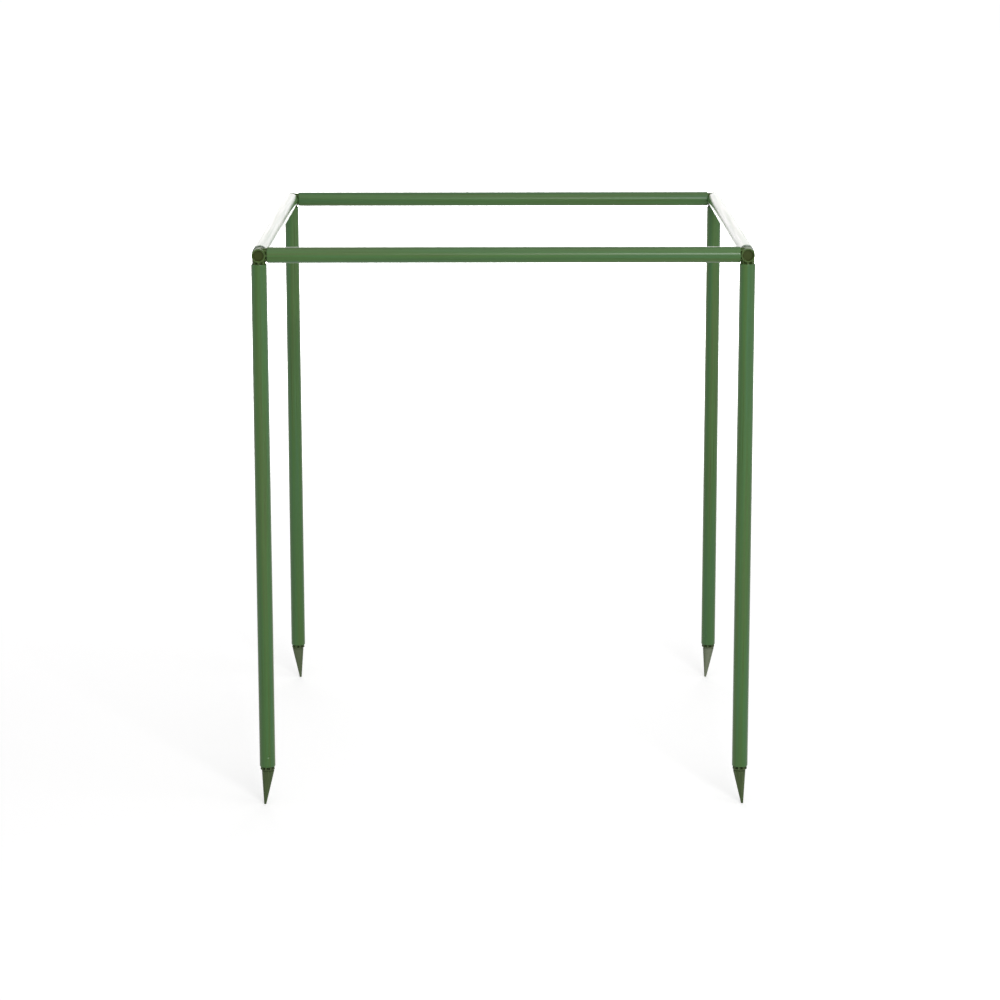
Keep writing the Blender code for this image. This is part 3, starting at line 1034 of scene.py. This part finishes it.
def moulded_relief(tree, place, clouds):
    """The clouds as soft hollows, with the grain of the mould on them."""
    grain = add_node(
        tree, "ShaderNodeTexNoise", {"Vector": place, "Scale": 1 / SPARK_GRAIN, "Detail": 2.0}
    ).outputs["Fac"]
    soft = add_node(
        tree, "ShaderNodeBump", {"Height": clouds, "Strength": 0.4, "Distance": CLOUD_DEPTH}
    ).outputs["Normal"]
    return add_node(
        tree,
        "ShaderNodeBump",
        {"Height": grain, "Strength": 0.5, "Distance": SPARK_DEPTH, "Normal": soft},
    ).outputs["Normal"]


print(f"moulded plastic: grain of {SPARK_GRAIN / MM:.1f} mm")

# %% [markdown]
# ## Moulded plastic: the finish
# The mould was not polished, so the plastic is satin, and its sheen is much weaker than on the
# tube. The clouds are as wide as they are long on the connectors and drawn out into lines on
# the points, so their width and their stretch are given along with the colours.

# %% Satin moulded plastic
POLYPROPYLENE_IOR = 1.49
MOULDED_SPECULAR = 0.22
CLOUD_ROUGHNESS = 0.15


def moulded_finish(name, light, dark, painted_light_colour, cloud_width, cloud_stretch, lowest_roughness):
    """Satin moulded plastic: a fine grain and larger clouds, which may be stretched along Z."""
    material, tree = new_finish(name)
    place = add_node(tree, "ShaderNodeAttribute", attribute_name="own_place").outputs["Vector"]
    along = add_node(
        tree, "ShaderNodeMapping", {"Vector": place, "Scale": (1, 1, 1 / cloud_stretch)}
    ).outputs["Vector"]
    clouds = add_node(
        tree, "ShaderNodeTexNoise", {"Vector": along, "Scale": 1 / cloud_width, "Detail": 3.0}
    ).outputs["Fac"]
    highest = lowest_roughness + CLOUD_ROUGHNESS
    roughness = add_node(
        tree,
        "ShaderNodeMapRange",
        {"Value": clouds, "To Min": lowest_roughness, "To Max": highest},
    ).outputs["Result"]
    shader = add_node(
        tree,
        "ShaderNodeBsdfPrincipled",
        {
            "Base Color": moulded_colour(tree, clouds, light, dark, painted_light_colour),
            "Roughness": roughness,
            "IOR": POLYPROPYLENE_IOR,
            "Specular IOR Level": MOULDED_SPECULAR,
            "Normal": moulded_relief(tree, place, clouds),
        },
    ).outputs["BSDF"]
    add_node(tree, "ShaderNodeOutputMaterial", {"Surface": shader})
    return material


print(f"moulded plastic: roughness varies by {CLOUD_ROUGHNESS:.2f}")

# %% [markdown]
# ## The connectors' plastic
# The connectors are moulded polypropylene in a dark olive. Their mould was sparked, so the skin
# has a fine even grain. The inside of the dish is painted a deeper olive as the shade of the
# recess, and the number that each vertex got when the connector was placed says where that is.

# %% Sparked polypropylene, dark olive
OLIVE = "#4a6130"
DARK_OLIVE = "#3d5226"
# Painted shade: the dish's darker olive stands in for the shade in the recess.
DISH_SHADE_OLIVE = "#313f05"
FLOW_CLOUD = 3.5 * MM
NO_STRETCH = 1.0
SPARKED_ROUGHNESS = 0.42

finishes["connector_plastic"] = moulded_finish(
    "sparked_polypropylene_olive",
    OLIVE,
    DARK_OLIVE,
    DISH_SHADE_OLIVE,
    FLOW_CLOUD,
    NO_STRETCH,
    SPARKED_ROUGHNESS,
)
print("finish:", finishes["connector_plastic"].name)

# %% [markdown]
# ## The points' plastic
# The points are the same plastic with more grey in it. Their mould was turned and then stroked
# lengthwise with a stone, so fine lines run down the cone and meet at its tip. A highlight is
# painted on them in a pale grey, where their vertices say so.

# %% Stroked polypropylene, olive grey
OLIVE_GREY = "#4c5c37"
DARK_OLIVE_GREY = "#384728"
# Painted highlight: a pale grey in place of light caught on the points.
HIGHLIGHT_GREY = "#79806c"
STROKE_WIDTH = 0.7 * MM
STROKE_STRETCH = 30.0
STROKED_ROUGHNESS = 0.45

finishes["point_plastic"] = moulded_finish(
    "stroked_polypropylene_grey",
    OLIVE_GREY,
    DARK_OLIVE_GREY,
    HIGHLIGHT_GREY,
    STROKE_WIDTH,
    STROKE_STRETCH,
    STROKED_ROUGHNESS,
)
print("finish:", finishes["point_plastic"].name)

# %% [markdown]
# ## Dressing the pieces
# Every piece was told its slot when it was made, so its finish can be looked up by that name.
# The pieces of a slot share one material, and only their stored places make them differ.

# %% Give each piece its finish
for piece in pieces:
    piece.data.materials.append(finishes[piece["slot_name"]])
print(f"{len(pieces)} pieces have their finish")

# %% [markdown]
# ## What is seen, and what is lit
# A white background and a lit object need different amounts of light. Light Path tells rays
# apart: those that show the background straight, in a mirror or through glass, and those that
# carry its light to the object. The floor and the room both use this.

# %% Rays that show the background
def seen_rays(tree):
    """1 for rays that show the background itself, 0 for rays that carry its light on."""
    rays = add_node(tree, "ShaderNodeLightPath").outputs
    straight_or_mirrored = add_node(
        tree,
        "ShaderNodeMath",
        {0: rays["Is Camera Ray"], 1: rays["Is Glossy Ray"]},
        operation="ADD",
    ).outputs["Value"]
    return add_node(
        tree,
        "ShaderNodeMath",
        {0: straight_or_mirrored, 1: rays["Is Transmission Ray"]},
        operation="ADD",
        use_clamp=True,
    ).outputs["Value"]


print("background: shown to camera, glossy and transmission rays")

# %% [markdown]
# ## The floor's paper
# The floor is a plain white sheet of paper. Most of its white is lit by the lamps, so the
# object drops its soft shadow on it. The lamps don't reach far, so the paper also glows a
# little, and more with distance, but only for what is seen straight or mirrored: the glow keeps
# the sheet white to the horizon and lights nothing.

# %% White paper
PAPER_WHITE = "#f4f4f4"
NEAR, NEAR_GLOW = 1.0, 0.3
FAR, FAR_GLOW = 4.5, 0.74

paper, tree = new_finish("white_paper")
sheet = add_node(tree, "ShaderNodeBsdfDiffuse", {"Color": linear(PAPER_WHITE)}).outputs["BSDF"]
place = add_node(tree, "ShaderNodeTexCoord").outputs["Object"]
distance = add_node(
    tree, "ShaderNodeVectorMath", {"Vector": place}, operation="LENGTH"
).outputs["Value"]
growing = add_node(
    tree,
    "ShaderNodeMapRange",
    {
        "Value": distance,
        "From Min": NEAR,
        "From Max": FAR,
        "To Min": NEAR_GLOW,
        "To Max": FAR_GLOW,
    },
).outputs["Result"]
strength = add_node(
    tree, "ShaderNodeMath", {0: seen_rays(tree), 1: growing}, operation="MULTIPLY"
).outputs["Value"]
glow = add_node(
    tree, "ShaderNodeEmission", {"Color": (1, 1, 1, 1), "Strength": strength}
).outputs["Emission"]
surface = add_node(tree, "ShaderNodeAddShader", {0: sheet, 1: glow}).outputs["Shader"]
add_node(tree, "ShaderNodeOutputMaterial", {"Surface": surface})
print(f"paper: glows from {NEAR_GLOW} at {NEAR:.1f} m to {FAR_GLOW} at {FAR:.1f} m")

# %% [markdown]
# ## The floor
# The floor is one square face, large enough to reach past every view. It belongs to the stage
# and not to the object, so it stays where it is when a joint moves.

# %% Make the floor
FLOOR_SIZE = 60.0

floor_shape = bmesh.new()
bmesh.ops.create_grid(floor_shape, x_segments=1, y_segments=1, size=FLOOR_SIZE / 2)
floor_mesh = bpy.data.meshes.new("floor")
floor_shape.to_mesh(floor_mesh)
floor_shape.free()
floor_mesh.materials.append(paper)
floor = bpy.data.objects.new("floor", floor_mesh)
bpy.context.scene.collection.objects.link(floor)
floor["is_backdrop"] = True
print(f"floor: {FLOOR_SIZE:.0f} m")

# %% [markdown]
# ## The room
# A white room gives much of the light, as a tent of cloth does in a studio. What is seen of it
# is pure white, and what it sheds on the object is less than a third of that, so that the lamps
# can still shape the tubes.

# %% World
ROOM_LIGHT = 0.31

world = bpy.data.worlds.new("white_room")
bpy.context.scene.world = world
world.use_nodes = True
tree = world.node_tree
tree.nodes.clear()
strength = add_node(
    tree, "ShaderNodeMapRange", {"Value": seen_rays(tree), "To Min": ROOM_LIGHT, "To Max": 1.0}
).outputs["Result"]
room = add_node(
    tree, "ShaderNodeBackground", {"Color": (1, 1, 1, 1), "Strength": strength}
).outputs["Background"]
add_node(tree, "ShaderNodeOutputWorld", {"Surface": room})
print(f"room: sheds {ROOM_LIGHT} and is seen at 1.0")

# %% [markdown]
# ## Lamps
# A wide, low lamp beside the camera draws the highlight along the rails, one overhead lights
# the rails' upper sides more than the legs, and a weak one at the right rounds the tubes. A
# rail that runs away from the camera is seen so flatly that it mirrors what stands behind it: a
# tall panel makes its pale band, the lit floor in front of the panel its white lower edge, and
# the line where they meet stays darker. The panel is faintly rosy, because the band would else
# look green from the skin under it. The lamp over that floor isn't mirrored itself.

# %% Set up the lamps
object_middle = (solid_bounds[0] + solid_bounds[1]) / 2
floor_behind = Vector((0.0, 5.0, 0.0))
PANEL_TINT = "#fff6fd"
LAMPS = {  # place, what it is aimed at, width and height in metres, watts
    "beside_camera": ((0.8, -3.2, 1.6), object_middle, (1.2, 0.4), 46.0),
    "right_side": ((3.2, -1.8, 1.2), object_middle, (1.8, 1.8), 12.0),
    "overhead": ((0.3, -1.0, 2.6), object_middle, (2.4, 2.4), 16.0),
    "behind": ((0.0, 6.0, 1.4), object_middle, (3.4, 2.9), 70.0),
    "over_back_floor": ((0.0, 5.0, 1.5), floor_behind, (4.0, 5.0), 260.0),
}

for name, (place, target, size, power) in LAMPS.items():
    light = bpy.data.lights.new(name, "AREA")
    light.shape = "RECTANGLE"
    light.size, light.size_y = size
    light.energy = power
    if name == "behind":
        light.color = linear(PANEL_TINT)[:3]
    holder = bpy.data.objects.new(name, light)
    holder.location = place
    aim = target - holder.location
    holder.rotation_euler = aim.to_track_quat("-Z", "Y").to_euler()
    holder.visible_camera = False
    holder.visible_glossy = name != "over_back_floor"
    bpy.context.scene.collection.objects.link(holder)
    print(f"lamp {name}: {power:.0f} W from {aim.length:.1f} m")

# %% [markdown]
# ## Camera
# The camera stands over three metres in front and looks down on the ring by twelve degrees
# through a long lens, so near and far legs differ little in size. The numbers come from
# matching the ring's corners and the legs' feet to the photograph.

# %% Make the camera
CAMERA_SIDE = -0.0027
CAMERA_DISTANCE = 3.292
CAMERA_HEIGHT = 0.966
CAMERA_TILT = 11.99
CAMERA_ROLL = 0.065
CAMERA_LENS = 111.2
SENSOR_WIDTH = 36.0
SIGHT_LIMIT = 100.0

camera_data = bpy.data.cameras.new("camera")
camera_data.lens = CAMERA_LENS
camera_data.sensor_width = SENSOR_WIDTH
camera_data.clip_end = SIGHT_LIMIT
camera = bpy.data.objects.new("camera", camera_data)
camera.location = (CAMERA_SIDE, -CAMERA_DISTANCE, CAMERA_HEIGHT)
camera.rotation_euler = (radians(90 - CAMERA_TILT), radians(CAMERA_ROLL), 0)
bpy.context.scene.collection.objects.link(camera)
bpy.context.scene.camera = camera
bpy.context.scene.view_settings.view_transform = "Standard"
print(f"camera: {CAMERA_LENS:.0f} mm lens, {CAMERA_DISTANCE:.2f} m away")

# %% [markdown]
# ## Sizes
# The boxes round the solids and round the dressed model are both measured, and their sizes are
# printed.

# %% Measure and print the sizes
bpy.context.view_layer.update()
dressed_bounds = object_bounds()
sizes = {
    "solids": [list(corner) for corner in solid_bounds],
    "dressed": [list(corner) for corner in dressed_bounds],
}
for label, (low, high) in sizes.items():
    print(label, [f"{(b - a) / MM:.1f} mm" for a, b in zip(low, high)])
